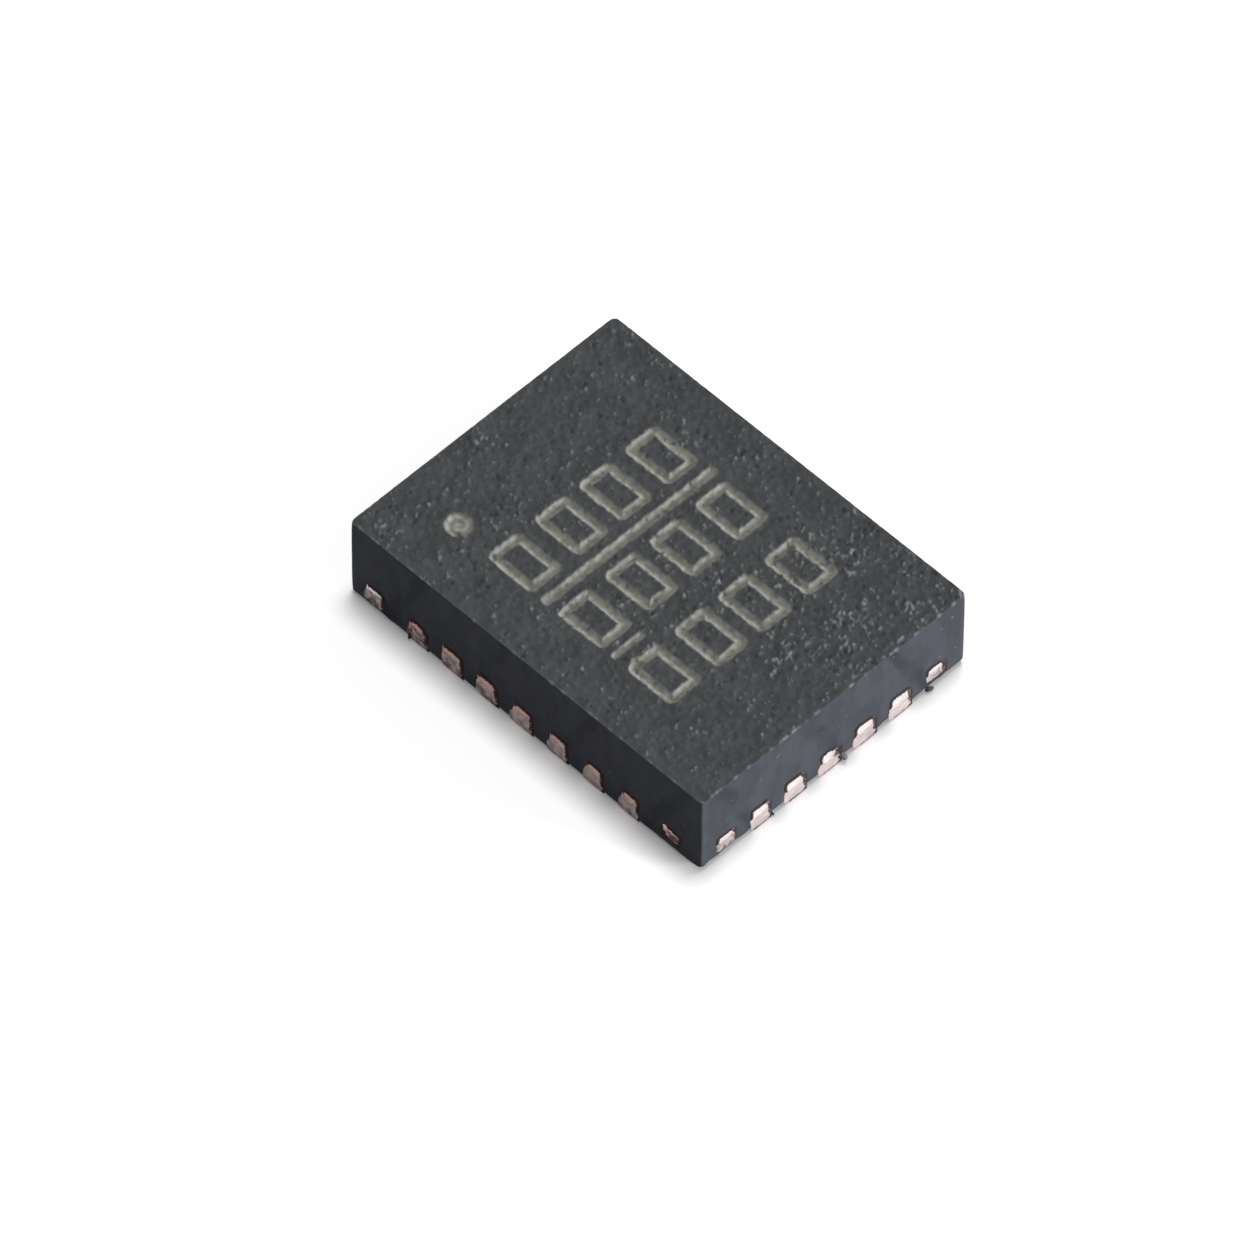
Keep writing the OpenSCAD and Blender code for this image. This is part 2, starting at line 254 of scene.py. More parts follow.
# Smeared copper: size of the streaks, size and range of the tarnished patches, raggedness of the rim,
# which is painted shadow, and its share in the painted highlight, ranges over which both come up,
# metallic share of dull copper, roughness of dull and highlighted copper and depth of the bump
STREAK_SIZE, PATCH_SIZE, PATCH_SHARE = 0.022, 0.065, (0.4, 1.5)
RAGGED_RIM, RAGGED_HIGHLIGHT, RIM_SHADOW_RANGE, HIGHLIGHT_RANGE = 0.3, 0.5, (0.45, 0.75), (0.1, 0.9)
DULL_METAL, DULL_ROUGH, BRIGHT_ROUGH, SMEAR_BUMP = 0.5, (0.28, 0.5), 0.2, 0.0007

# Pieces inside: dark and light shade, size of the grain, metallic share and range of roughness, with
# the depth of the bump as a share of the grain's size
INSIDE = {
    "silicon": ((74, 82, 92), (104, 114, 126), 0.05, 0.3, (0.15, 0.3)),
    "die_attach": ((150, 146, 134), (198, 194, 182), 0.02, 0.6, (0.45, 0.6)),
    "bond_wire": ((196, 150, 62), (232, 190, 96), 0.01, 1.0, (0.2, 0.35)),
}
INSIDE_BUMP = 0.05

# Camera at the photograph's place, with its turn in degrees, and its clipping in metres
CAMERA_AT = (-61.869, -61.072, 113.438)
CAMERA_TURN = (37.4601, -0.2600, -44.8718)
CAMERA_LENS, SENSOR, CAMERA_CLIP = 508.57, 36.0, (0.01, 2.0)

# Light: a soft lamp overhead, a low soft lamp at the camera's right, and a weak even sky. Each lamp has
# the direction it shines from, its level and its width in degrees.
LAMPS = {
    "overhead": ((0.17, 0.085, 1.0), 0.62, 22.0),
    "side": ((0.50, -0.84, 0.105), 1.36, 20.0),
}
SKY_LEVEL = 0.22
FLOOR_SIZE = 400.0
FLOOR_GLOW, FLOOR_PAINT, FLOOR_BOUNCE = 0.10, 1.12, 0.17


def linear(rgb):
    """Linear RGBA of an sRGB colour."""
    share = [value / 255 for value in rgb]
    return [v / 12.92 if v <= 0.04045 else ((v + 0.055) / 1.055) ** 2.4 for v in share] + [1.0]


class Shade:
    """A material with its shader, and short calls that add nodes to it."""

    def __init__(self, name):
        self.material = bpy.data.materials.new(name)
        self.material.use_nodes = True
        self.tree = self.material.node_tree
        self.shader = self.tree.nodes["Principled BSDF"]
        self.place = self.add("TexCoord", {}).outputs["Object"]

    def add(self, kind, inputs, **settings):
        node = self.tree.nodes.new("ShaderNode" + kind)
        for key, value in settings.items():
            setattr(node, key, value)
        for key, value in inputs.items():
            self.put(node.inputs[key], value)
        return node

    def put(self, socket, value):
        if isinstance(value, bpy.types.NodeSocket):
            self.tree.links.new(value, socket)
        else:
            socket.default_value = value

    def set(self, **inputs):
        for key, value in inputs.items():
            self.put(self.shader.inputs[key.replace("_", " ")], value)

    def noise(self, size, detail=2.0, stretch=(1, 1, 1)):
        """Noise with waves of that size in millimetres, longer along each axis by its stretch."""
        scale = [1 / (size * MM * s) for s in stretch]
        place = self.add("Mapping", {"Vector": self.place, "Scale": scale}).outputs["Vector"]
        return self.add("TexNoise", {"Vector": place, "Scale": 1.0, "Detail": detail}).outputs["Fac"]

    def math(self, operation, *values):
        return self.add("Math", dict(enumerate(values)), operation=operation).outputs[0]

    def along(self, direction):
        """Distance in millimetres along a direction."""
        vector = [value / MM for value in direction]
        return self.add("VectorMath", {0: self.place, 1: vector}, operation="DOT_PRODUCT").outputs["Value"]

    def ramp(self, value, low, high, to_low=0.0, to_high=1.0):
        inputs = {"Value": value, "From Min": low, "From Max": high, "To Min": to_low, "To Max": to_high}
        return self.add("MapRange", inputs, interpolation_type="SMOOTHSTEP").outputs["Result"]

    def blend(self, factor, first, second):
        pair = [linear(c) if isinstance(c, tuple) else c for c in (first, second)]
        inputs = {0: factor, 6: pair[0], 7: pair[1]}
        return self.add("Mix", inputs, data_type="RGBA").outputs[2]

    def number(self, factor, first, second):
        return self.add("Mix", {0: factor, 2: first, 3: second}).outputs[0]

    def attribute(self, name):
        return self.add("Attribute", {}, attribute_name=name).outputs["Fac"]

    def bump(self, height, depth):
        """Bump of that depth in millimetres for the whole range of the height."""
        return self.add("Bump", {"Height": height, "Distance": depth * MM}).outputs["Normal"]


def saw_bands(s):
    """1 in the dark slanted bands that the saw left on the sides, fading in and out."""
    run = s.math("SUBTRACT", s.along((1, 1, BAND_SLOPE)), BAND_AT)
    wander = s.ramp(s.noise(BAND_WAVE), *NOISE_WIDE, -BAND_WANDER, BAND_WANDER)
    beat = s.math("PINGPONG", s.math("ADD", s.math("DIVIDE", run, BAND_PITCH), wander), 0.5)
    band = s.ramp(beat, BAND_HALF / BAND_PITCH, BAND_CORE * BAND_HALF / BAND_PITCH)
    return s.math("MULTIPLY", band, s.ramp(s.noise(BAND_PATCH), *BAND_RANGE, BAND_FAINT, 1.0))


def mould_material():
    """Moulding compound: mottled top with specks that also paint glints, pits painted dark as shade,
    marking with painted highlights, and sawn sides.
    """
    s = Shade("mold_compound")
    sawn, mark = s.attribute("sawn"), s.attribute("mark")
    clouds = s.math("MULTIPLY", s.noise(CLOUD_SIZE), CLOUD_SHARE)
    mottle = s.math("ADD", clouds, s.math("MULTIPLY", s.noise(MOTTLE_SIZE, 3.0), 1 - CLOUD_SHARE))
    top = s.blend(s.ramp(mottle, *MOTTLE_RANGE), TOP_DARK, TOP_LIGHT)
    engraved = s.blend(s.ramp(s.noise(MARK_MOTTLE, 3.0), *NOISE_RANGE), MARK_DARK, MARK_LIGHT)
    # Painted highlight on the strokes' lit walls, broken into beads, with the dot's swirl
    engraved = s.blend(s.attribute("mark_highlight_and_swirl"), engraved, MARK_HIGHLIGHT)
    top = s.blend(mark, top, engraved)
    side = s.blend(s.ramp(s.noise(SAWN_MOTTLE, 3.0, SAWN_DOWN), *NOISE_RANGE), SAWN_DARK, SAWN_LIGHT)
    side = s.blend(saw_bands(s), side, SAWN_BAND)
    side = s.blend(s.ramp(s.noise(GRIT_SIZE, 1.0), *GRIT_RANGE), side, SAWN_SPECK)
    # Pits painted dark as shade
    colour = s.blend(s.attribute("pit"), s.blend(sawn, top, side), PIT_SHADE)
    # Pale grains and chips, with painted glints and highlights, and light painted on the burrs
    colour = s.blend(s.attribute("speck_and_painted_light"), colour, PALE_AND_HIGHLIGHT)
    grain = s.number(sawn, s.noise(TOP_GRAIN), s.noise(SAWN_GRAIN, 2.0, SAWN_ALONG))
    s.set(Base_Color=colour, Roughness=s.number(sawn, TOP_ROUGH, SAWN_ROUGH))
    s.set(Normal=s.bump(grain, MOULD_BUMP), Specular_IOR_Level=SPECULAR)
    return s.material


def copper_material():
    """Lead frame: copper, painted dark as shade and not metallic where it was sawn, with tin plating where
    it faces down.
    """
    s = Shade("lead_frame")
    normal = s.add("TexCoord", {}).outputs["Normal"]
    down = s.add("SeparateXYZ", {"Vector": normal}).outputs["Z"]
    plated = s.ramp(down, *PLATED_RANGE)
    past_w = s.math("SUBTRACT", s.math("ABSOLUTE", s.along((1, 0, 0))), HALF_W)
    past_l = s.math("SUBTRACT", s.math("ABSOLUTE", s.along((0, 1, 0))), HALF_L)
    # Sawn copper behind the smeared end is painted dark as shade and is not metallic
    sawn = s.math("GREATER_THAN", s.math("MAXIMUM", past_w, past_l), -END_SHADE_DEPTH)
    copper = s.blend(s.ramp(s.noise(COPPER_MOTTLE, 3.0), *NOISE_RANGE), COPPER_PINK, COPPER_PALE)
    copper = s.blend(sawn, copper, SAWN_END_SHADE)
    tin = s.blend(s.ramp(s.noise(TIN_MOTTLE, 3.0), *NOISE_RANGE), TIN_DARK, TIN_LIGHT)
    s.set(Base_Color=s.blend(plated, copper, tin), Metallic=s.math("SUBTRACT", 1.0, sawn))
    s.set(Roughness=s.ramp(s.noise(METAL_PATCH), *NOISE_WIDE, *METAL_ROUGH))
    s.set(Normal=s.bump(s.noise(METAL_GRAIN, 3.0), METAL_BUMP), Specular_IOR_Level=SPECULAR)
    return s.material


def smear_material():
    """Sawn copper: streaked, painted highlight above and cooler below, tarnished in places with painted
    shade at the foot, inside a dark rim of painted shadow.
    """
    s = Shade("sawn_copper")
    tarnish_and_shade, light, warm = s.attribute("tarnish_and_shade"), s.attribute("light"), s.attribute("warm")
    streaks = s.noise(STREAK_SIZE, 2.0, SAWN_ALONG)
    ragged = s.ramp(s.noise(STREAK_SIZE, 3.0), *NOISE_WIDE, -RAGGED_RIM, RAGGED_RIM)
    patches = s.ramp(s.noise(PATCH_SIZE, 1.0), *NOISE_RANGE, *PATCH_SHARE)
    copper = s.blend(s.ramp(streaks, *NOISE_RANGE), COPPER_PINK, COPPER_PALE)
    copper = s.blend(s.attribute("cool"), copper, COPPER_COOL)
    # Tarnish in patches, with painted shade towards the foot
    stain_and_shade = s.blend(warm, COPPER_GREY, COPPER_BROWN)
    copper = s.blend(s.math("MULTIPLY", tarnish_and_shade, patches), copper, stain_and_shade)
    # Painted highlight on the upper part, which is also more metallic and smoother
    light = s.ramp(s.math("SUBTRACT", light, s.math("MULTIPLY", ragged, RAGGED_HIGHLIGHT)), *HIGHLIGHT_RANGE)
    copper = s.blend(light, copper, s.blend(warm, COPPER_HIGHLIGHT, SALMON_HIGHLIGHT))
    # Dark rim: painted shadow along the burred lip, not metallic
    rim = s.ramp(s.math("ADD", s.attribute("rim"), ragged), *RIM_SHADOW_RANGE)
    colour = s.blend(rim, copper, s.blend(warm, RIM_SHADOW, RED_RIM_SHADOW))
    metallic = s.math("MULTIPLY", s.number(light, DULL_METAL, 1.0), s.math("SUBTRACT", 1.0, rim))
    s.set(Base_Color=colour, Metallic=metallic, Normal=s.bump(streaks, SMEAR_BUMP))
    s.set(Roughness=s.number(light, s.ramp(streaks, *NOISE_WIDE, *DULL_ROUGH), BRIGHT_ROUGH))
    s.set(Specular_IOR_Level=SPECULAR)
    return s.material


def inside_material(name):
    """Two shades mixed by noise, which also gives the surface its fine bump."""
    dark, light, size, metallic, roughness = INSIDE[name]
    s = Shade(name)
    grain = s.noise(size, 3.0)
    s.set(Base_Color=s.blend(s.ramp(grain, *NOISE_RANGE), dark, light), Metallic=metallic)
    s.set(Roughness=s.ramp(grain, *NOISE_WIDE, *roughness), Normal=s.bump(grain, size * INSIDE_BUMP))
    return s.material


def link(name, mesh):
    """A new object of that mesh in the scene."""
    made = bpy.data.objects.new(name, mesh)
    bpy.context.scene.collection.objects.link(made)
    return made


def shade_smooth(mesh, below):
    """Shades a mesh smooth, apart from edges of that angle in degrees or more."""
    mesh.polygons.foreach_set("use_smooth", [True] * len(mesh.polygons))
    mesh.set_sharp_from_angle(angle=math.radians(below))


def piece(name, points, faces, material):
    """A mesh object from points in millimetres."""
    mesh = bpy.data.meshes.new(name)
    mesh.from_pydata(np.asarray(points) * MM, [], faces)
    shade_smooth(mesh, SMOOTH_BELOW)
    mesh.materials.append(material)
    return link(name, mesh)


def point_attribute(mesh, name, values):
    mesh.attributes.new(name, "FLOAT", "POINT").data.foreach_set("value", np.asarray(values, np.float32))


def waves(rng, shape, cell, size, stretch=1.0):
    """Smooth random field of unit spread with waves of that size, longer by stretch along the streaks."""
    fx, fy = np.meshgrid(*(np.fft.fftfreq(n, cell) for n in shape), indexing="ij")
    lean = math.radians(STREAK_LEAN)
    along = (fx * math.cos(lean) + fy * math.sin(lean)) * stretch
    across = fy * math.cos(lean) - fx * math.sin(lean)
    keep = np.exp(-((along**2 + across**2) * (size * WAVE_BLUR) ** 2) * math.pi)
    field = np.fft.ifft2(np.fft.fft2(rng.standard_normal(shape)) * keep).real
    return (field - field.mean()) / field.std()


def box_distance(x, y, centre, size, rounding):
    """Distance from the outline of a rounded box, below zero inside."""
    dx = np.abs(x - centre[0]) - size[0] / 2 + rounding
    dy = np.abs(y - centre[1]) - size[1] / 2 + rounding
    outside = np.hypot(np.maximum(dx, 0), np.maximum(dy, 0))
    return outside + np.minimum(np.maximum(dx, dy), 0) - rounding


def marking_distance(x, y):
    """Distance from the marking's strokes: rows of plain boxes, a bar, a dash and the terminal 1 dot."""
    fields = [np.hypot(x - DOT[0], y - DOT[1]) - DOT[2] / 2]
    for cx, cy, width, height in (BAR, DASH):
        fields.append(box_distance(x, y, (cx, cy), (width, height), height / BAR_ROUND))
    middle = (BOX_W - STROKE, BOX_H - STROKE)
    for cy in BOX_ROWS:
        for cx in BOX_COLUMNS:
            fields.append(np.abs(box_distance(x, y, (cx, cy), middle, BOX_ROUND)) - STROKE / 2)
    return np.minimum.reduce(fields)


def top_fields(rng, x, y):
    """Height of the moulded top over its plane, and the masks that colour it."""
    shape = (len(x), len(y))
    gx, gy = np.meshgrid(x + HALF_W, HALF_L - y, indexing="ij")
    grain = waves(rng, shape, CELL, GRAIN_SIZE, STREAK_STRETCH)
    wave = waves(rng, shape, CELL, WAVE_SIZE, STREAK_STRETCH)
    cluster = WAVE_SHARE * wave + CLUSTER_SHARE * waves(rng, shape, CELL, CLUSTER_SIZE)
    cluster += CROWD * np.outer(x / HALF_W + CROWD_MIDDLE, np.maximum(-y / HALF_L, 0))
    # Specks: pale grains whose colour also paints glints
    speck_and_painted_light = np.clip((grain + cluster - SPECK_FROM) / SPECK_RANGE, 0, 1) * (1 - SPECK_FADE * y / HALF_L)
    hollow = waves(rng, shape, CELL, PIT_SIZE, STREAK_STRETCH)
    pit = np.clip((hollow + cluster - PIT_FROM) / PIT_RANGE, 0, 1)
    height = WAVE_H * wave + GRAIN_H * grain + SPECK_H * speck_and_painted_light - PIT_H * pit

    away = marking_distance(gx, gy) + MARK_WOBBLE * waves(rng, shape, CELL, BEAD_SIZE)
    mark = np.clip(0.5 - away / MARK_SOFT, 0, 1)
    inside = np.clip(-away / (STROKE / 2), 0, 1)
    slope_x, slope_y = np.gradient(away, CELL)
    # Painted highlight: the strokes' walls that face the light, less in their middle
    lit = np.clip((slope_y - slope_x), 0, 1) * (1 - MARK_SHADE * inside)
    beads = np.clip(BEAD_MEAN + BEAD_SPREAD * waves(rng, shape, CELL, BEAD_SIZE), BEAD_LEAST, 1)
    swirl, turn = np.hypot(gx - DOT[0], gy - DOT[1]), np.arctan2(gy - DOT[1], gx - DOT[0])
    spiral = np.where(swirl < DOT[2] / 2, np.cos(2 * math.pi * swirl / SWIRL_PITCH + turn), 0)
    edge = mark * beads * np.clip(lit + SWIRL_SHARE * spiral, 0, 1)
    floor = MARK_ROUGH * (waves(rng, shape, CELL, BEAD_SIZE) + spiral) - MARK_DEPTH * inside * (2 - inside)
    rim = MARK_RIM * np.exp(-(((away - MARK_RIM_W) / MARK_RIM_W) ** 2))
    height = height * (1 - mark) + floor * mark + rim

    inset = np.minimum(np.minimum(gx, 2 * HALF_W - gx), np.minimum(gy, 2 * HALF_L - gy))
    height *= np.clip(inset / EDGE_CALM, 0, 1)
    masks = {"mark": mark, "mark_highlight_and_swirl": edge, "speck_and_painted_light": speck_and_painted_light * (1 - mark), "pit": PIT_SHADE_SHARE * pit}
    return height, masks


def corner_radius(level):
    """Radius of the body's upright edges at a level, larger where the corners are worn."""
    worn = math.exp((level - TOP) / WEAR_REACH) + math.exp((BOTTOM - level) / WEAR_REACH)
    return EDGE_ROUND + CORNER_WEAR * worn


def rounded_corner(points, radius):
    """Moves points of the plan near an upright edge onto a round of that radius."""
    centre = np.sign(points) * (np.array([HALF_W, HALF_L]) - radius)
    part = points - centre
    near = (np.sign(part) == np.sign(points)).all(1) & (np.hypot(*part.T) > 0)
    reach = np.abs(part).max(1) / np.maximum(np.hypot(*part.T), TINY)
    return np.where(near[:, None], centre + part * reach[:, None], points)


def edge_chips(rng, nx, ny):
    """How deep each point round the top edge is chipped, from 0 to 1, starting at the edge at -Y."""
    count = 2 * (nx + ny)
    chip = np.zeros(count)
    for place in rng.integers(0, count, CHIPS):
        reach = rng.integers(1, CHIP_REACH + 1)
        depth = rng.uniform(*CHIP_SHARE) ** 2 * (FAR_CHIP if nx < place < 2 * nx + ny else 1)
        for step in range(-reach, reach + 1):
            at = (place + step) % count
            chip[at] = max(chip[at], depth * (1 - abs(step) / (reach + 1)))
    return chip


def pale_edge(shape, ring, chip):
    """Paleness of the chipped edge and of the points beside it, over the whole top, and a painted highlight
    line along the edge.
    """
    bright = np.zeros(shape[0] * shape[1])
    # The least value paints a highlight line along the whole top edge
    bright[ring] = np.clip(CHIP_PALE[0] * chip - CHIP_PALE[1], EDGE_HIGHLIGHT_LEAST, 1)
    bright = bright.reshape(shape)
    beside = np.maximum.reduce([np.roll(bright, step, axis) for step in (-1, 1) for axis in (0, 1)])
    return np.maximum(bright, BESIDE_PALE[0] * beside - BESIDE_PALE[1])


def lower_wear(wall, nx, ny):
    """Height of the worn lower edge at each point round the body, starting at the edge at -Y."""
    worn = np.repeat([LOWER_H[side] for side in (1, 2, 3, 0)], (nx, ny, nx, ny))
    worn = np.mean([np.roll(worn, step) for step in range(-LOWER_BLEND, LOWER_BLEND + 1)], 0)
    return worn * (1 + LOWER_WAVE * np.clip(wall[:, -1] / 2, -1, 1))


def mould_block(rng):
    """Closed block with the grained top, sawn sides and flat underside: points, faces and masks."""
    nx, ny = round(2 * HALF_W / CELL), round(2 * HALF_L / CELL)
    x, y = np.linspace(-HALF_W, HALF_W, nx + 1), np.linspace(-HALF_L, HALF_L, ny + 1)
    height, masks = top_fields(rng, x, y)
    gx, gy = np.meshgrid(x, y, indexing="ij")
    square = np.stack([gx.ravel(), gy.ravel()], 1)
    corner_gap = np.hypot(*(np.abs(square) - (HALF_W, HALF_L)).T)
    drop = CORNER_DROP * np.exp(-((corner_gap / WEAR_REACH) ** 2))
    top = np.column_stack([rounded_corner(square, corner_radius(TOP)), TOP + height.ravel() - drop])
    index = np.arange(len(top)).reshape(nx + 1, ny + 1)
    quads = np.stack([index[:-1, :-1], index[1:, :-1], index[1:, 1:], index[:-1, 1:]], -1)
    faces = quads.reshape(-1, 4).tolist()
    ring = np.concatenate([index[:-1, 0], index[-1, :-1], index[:0:-1, -1], index[0, :0:-1]])
    count = len(ring)
    outward = np.sign(top[ring, :2]) * (np.abs(np.abs(top[ring, :2]) - (HALF_W, HALF_L)) < ON_EDGE)

    chip = edge_chips(rng, nx, ny)
    wall = waves(rng, (count, WALL_COLUMNS), CELL, SAWN_SIZE)
    top[ring, :2] -= outward * (CHIP_DEPTH * chip)[:, None]
    top[ring, 2] -= CHIP_DROP * CHIP_DEPTH * chip
    masks["speck_and_painted_light"] = np.maximum(masks["speck_and_painted_light"], pale_edge(height.shape, ring, chip))
    masks = {name: [field.ravel()] for name, field in masks.items()}
    masks["sawn"] = [np.zeros(len(top))]

    worn_edge = EDGE_PALE * np.exp(-((corner_gap[ring] / EDGE_ROUND) ** 2))
    worn = lower_wear(wall, nx, ny)
    levels = [np.full(count, TOP - level) for level in SIDE_LEVELS]
    levels += [BOTTOM + worn, np.full(count, BOTTOM)]
    points, upper, top_rim = [top], ring, top[ring, 2]
    turn = np.roll(np.arange(count), -1)
    for row, level in enumerate(levels):
        last = row == len(levels) - 1
        lower = np.arange(count) + sum(len(part) for part in points)
        out = 0 if last else SAWN_H * wall[:, [row * WALL_STEP % WALL_COLUMNS]]
        inset = LOWER_W * last / np.array([HALF_W, HALF_L])
        rim = rounded_corner(square[ring], corner_radius(level.mean())) * (1 - inset) + outward * out
        points.append(np.column_stack([rim, np.minimum(level, top_rim - RIM_STEP * (row + 1))]))
        for name in masks:
            masks[name].append(np.full(count, 1.0 if name == "sawn" else 0.0))
        pale = worn_edge * np.clip(PALE_MEAN + PALE_SPREAD * wall[:, row * PALE_STEP % WALL_COLUMNS], 0, 1)
        if row == 0:
            pale = np.maximum(pale, np.clip(BELOW_PALE[0] * chip - BELOW_PALE[1], 0, 1))
        masks["speck_and_painted_light"][-1] = pale
        faces += np.stack([upper, lower, lower[turn], upper[turn]], 1).tolist()
        upper = lower
    faces.append(upper[::-1].tolist())
    return np.concatenate(points), faces, {name: np.concatenate(parts) for name, parts in masks.items()}


def cad_points(name):
    """A CAD node's points, each once and in millimetres, and its triangles."""
    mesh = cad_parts[name].data
    mesh.calc_loop_triangles()
    co = np.array([v.co for v in mesh.vertices]) / MM
    tris = np.array([t.vertices for t in mesh.loop_triangles])
    _, first, same = np.unique(np.round(co, POINT_DIGITS), axis=0, return_index=True, return_inverse=True)
    tris = same.ravel()[tris]
    whole = (tris != np.roll(tris, 1, 1)).all(1)
    return co[first], tris[whole]


def cutter(name, nodes):
    """One mesh of several nodes, run past the body's outside and sunk into the room beneath them."""
    points, faces, start = [], [], 0
    for node in nodes:
        co, tris = cad_points(node)
        for axis, half in ((0, HALF_W), (1, HALF_L)):
            past = np.abs(np.abs(co[:, axis]) - half) < SAME
            co[past, axis] += np.sign(co[past, axis]) * CUT_PAST
        low = co[:, 2] < SAME
        co[low, 2] -= CUT_PAST
        if not node.startswith(("lead_", "die_paddle")):
            seat = np.abs(co[:, 2] - co[:, 2].min()) < SAME
            seat |= np.abs(co[:, 2] - DIE_TOP) < SAME if node in WIRES else False
            co[seat, 2] -= CUT_SINK
        points.append(co)
        faces.append(tris + start)
        start += len(co)
    mesh = bpy.data.meshes.new(name)
    mesh.from_pydata(np.concatenate(points), [], np.concatenate(faces).tolist())
    return link(name, mesh)


def mould(material):
    """The moulding, with room cut for everything that the lead frame carries."""
    points, faces, masks = mould_block(np.random.default_rng(MOULD_SEED))
    block = link("cut_block", bpy.data.meshes.new("cut_block"))
    block.data.from_pydata(points, [], faces)
    for name, values in masks.items():
        point_attribute(block.data, name, values)
    groups = [LEADS + ["die_paddle"], ["die_attach"], ["die"], WIRES]
    cutters = [cutter(f"cutter_{k}", nodes) for k, nodes in enumerate(groups)]
    for tool in cutters:
        cut = block.modifiers.new(tool.name, "BOOLEAN")
        cut.object, cut.operation, cut.solver = tool, "DIFFERENCE", "MANIFOLD"
    cut_mesh = bpy.data.meshes.new_from_object(block.evaluated_get(bpy.context.evaluated_depsgraph_get()))
    for spare in [block, *cutters]:
        bpy.data.objects.remove(spare)
    cut_mesh.name = "molded_body"
    cut_mesh.transform([[MM, 0, 0, 0], [0, MM, 0, 0], [0, 0, MM, 0], [0, 0, 0, 1]])
    shade_smooth(cut_mesh, MOULD_SMOOTH)
    cut_mesh.materials.clear()
    cut_mesh.materials.append(material)
    return link("molded_body", cut_mesh)


def on_side(side, u, z, out):
    """Points on a side of the body: u runs to the right as seen from outside, and out is off the face."""
    distance = HALF_L if side % 2 else HALF_W
    x, y = -(distance + np.asarray(out)), -np.asarray(u)
    for _ in range(side):
        x, y = -y, x
    return np.column_stack([x, y, z])


def side_of(low, high):
    """Side of the body that a box in millimetres ends in, and the middle and half width along it."""
    reach = (-low[0] - HALF_W, -low[1] - HALF_L, high[0] - HALF_W, high[1] - HALF_L)
    side = int(np.argmax(reach))
    u0, u1 = ((-high[1], -low[1]), (low[0], high[0]), (low[1], high[1]), (-high[0], -low[0]))[side]
    return side, (u0 + u1) / 2, (u1 - u0) / 2


def tie_ends():
    """Tie-bar ends in the sides, from the pad's own points: side, middle, half width, low and high."""
    co, _ = cad_points("die_paddle")
    found = []
    for side in range(4):
        axis, half = (1, HALF_L) if side % 2 else (0, HALF_W)
        sign = -1 if side < 2 else 1
        at_side = co[np.abs(co[:, axis] - sign * half) < SAME]
        along = at_side[:, 1 - axis] * (-1 if side in (0, 3) else 1)
        for part in (along < 0, along > 0):
            u, z = along[part], at_side[part, 2]
            found.append((side, (u.min() + u.max()) / 2, (u.max() - u.min()) / 2, z.min(), z.max()))
    return found


def end_outline(rng, half, low, top, smear, ragged, smooth):
    """Smeared outline of a sawn end, as points (u, z) from its lower left corner on.

    The smear is the drag to the left, the inset of the top and the bulge of the foot at the left, and
    the cut of the top at the right.
    """
    drag, inset, bulge, cut = smear
    left, right, tall = -half - drag, half - drag + RIGHT_RIM, top - low
    corners = np.array([
        (left - bulge, low),
        (right, low),
        (right + rng.uniform(*RIGHT_BULGE), low + RIGHT_MIDDLE * tall),
        (right - cut, top - rng.uniform(*TOP_DIP)),
        (left + inset, top),
        (left + WAIST_INSET * inset, low + rng.uniform(*WAIST_AT) * tall),
        (left - bulge, low + rng.uniform(*FOOT_AT) * tall),
    ])
    closed = np.vstack([corners, corners[:1]])
    run = np.concatenate([[0], np.cumsum(np.hypot(*np.diff(closed, axis=0).T))])
    at = np.linspace(0, run[-1], END_POINTS, endpoint=False)
    outline = np.column_stack([np.interp(at, run, closed[:, k]) for k in (0, 1)])
    for _ in range(smooth):
        outline = (np.roll(outline, 1, 0) + 2 * outline + np.roll(outline, -1, 0)) / 4
    jitter = rng.standard_normal((END_POINTS, 2))
    jitter = (np.roll(jitter, 1, 0) + jitter + np.roll(jitter, -1, 0)) / 3
    outline += END_JITTER * ragged * jitter
    outline[:, 1] = np.maximum(outline[:, 1], END_FLOOR)
    return outline


def end_faces():
    """Faces of a skin that has rings of points, then a point in the middle, and a flat back."""
    faces, n = [], END_POINTS
    for ring in range(len(END_RINGS) - 1):
        for k in range(n):
            a, b = ring * n + k, ring * n + (k + 1) % n
            faces.append((a, b, b + n, a + n))
    last, middle = (len(END_RINGS) - 1) * n, len(END_RINGS) * n
    faces += [(last + k, last + (k + 1) % n, middle) for k in range(n)]
    faces.append(tuple(range(n - 1, -1, -1)))
    return faces


